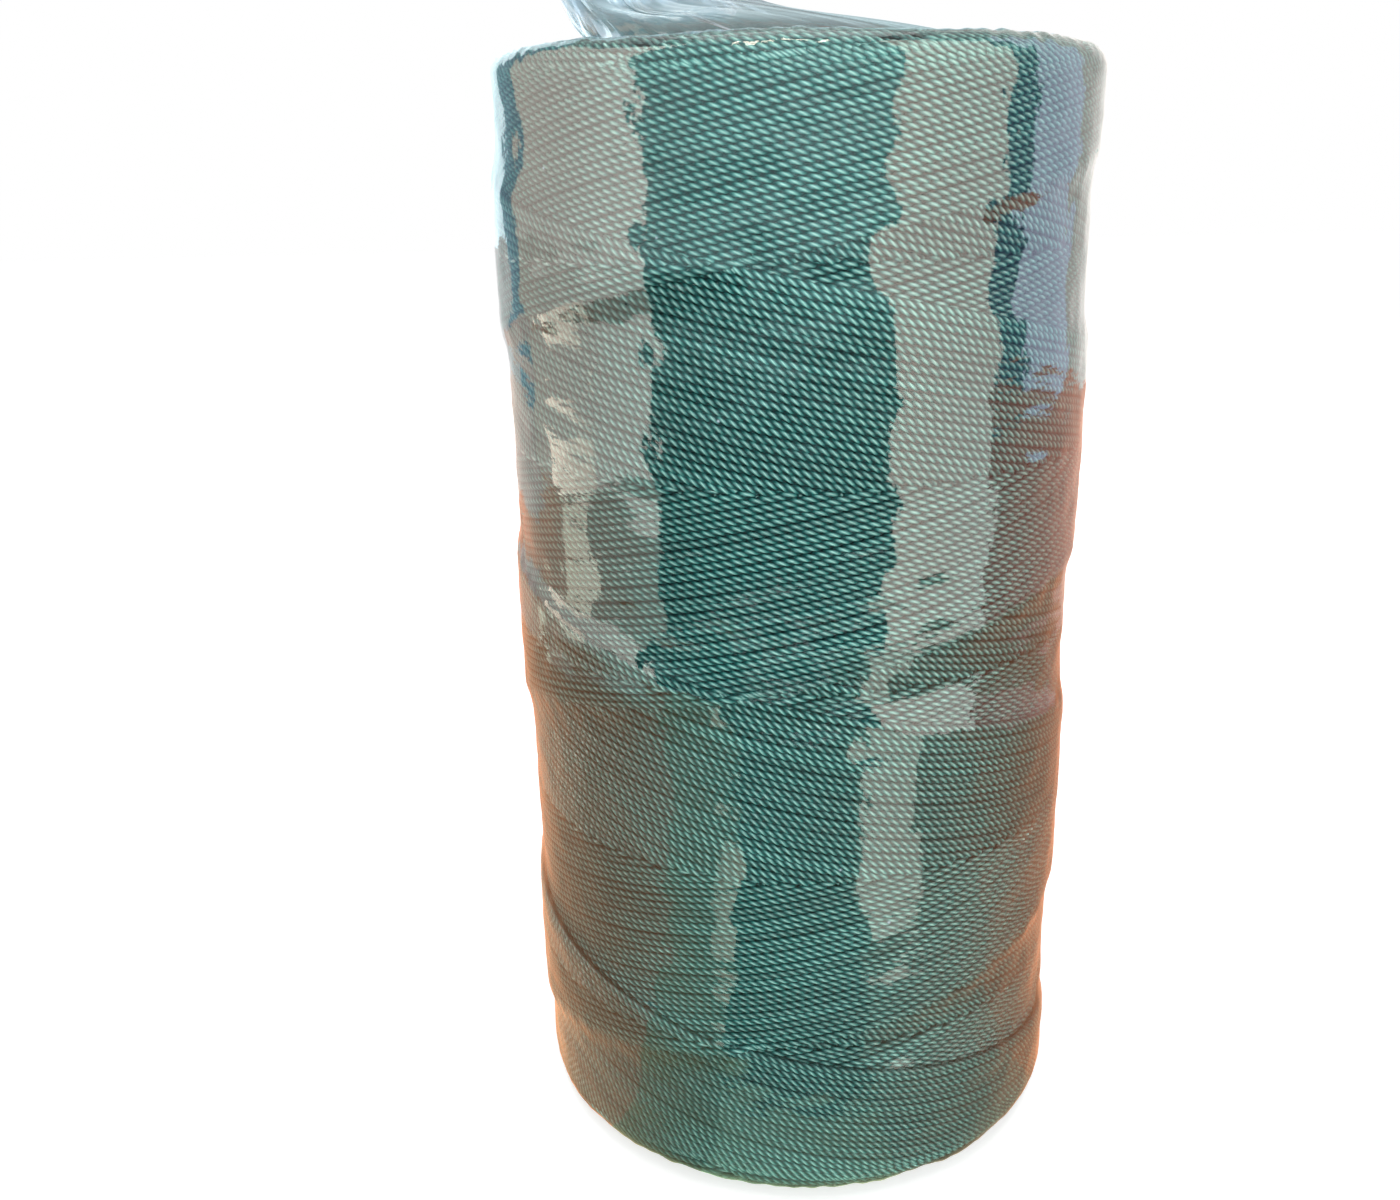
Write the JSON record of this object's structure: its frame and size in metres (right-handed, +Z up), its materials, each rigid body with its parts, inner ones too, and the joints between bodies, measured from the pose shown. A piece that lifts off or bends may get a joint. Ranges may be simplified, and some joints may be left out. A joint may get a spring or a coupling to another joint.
{
  "type": "fishing twine spool",
  "caption": "Cross-wound cylindrical spool of twisted green nylon fishing twine on a paper tube, sealed in clear shrink film gathered on top.",
  "frame": {"origin": "centre of the base, on the plane that the spool stands on", "axes": "+Z up along the spool's axis, -Y towards the front that shows a crossing of the bands, +X to the right seen from the front"},
  "size_m": [0.1032, 0.1032, 0.2138],
  "materials": {
    "paperboard": "spiral-wound grey-brown paperboard with a cut edge that shows its plies",
    "twine": "satin teal-green three-ply twisted nylon twine, laid side by side in crossing bands",
    "film": "clear glossy shrink film, lightly wrinkled"
  },
  "bodies": {
    "root": {"core_tube": "paperboard", "twine_body": "twine", "twine_turns": "twine", "film_sleeve": "film", "film_crown": "film"}
  },
  "joints": []
}
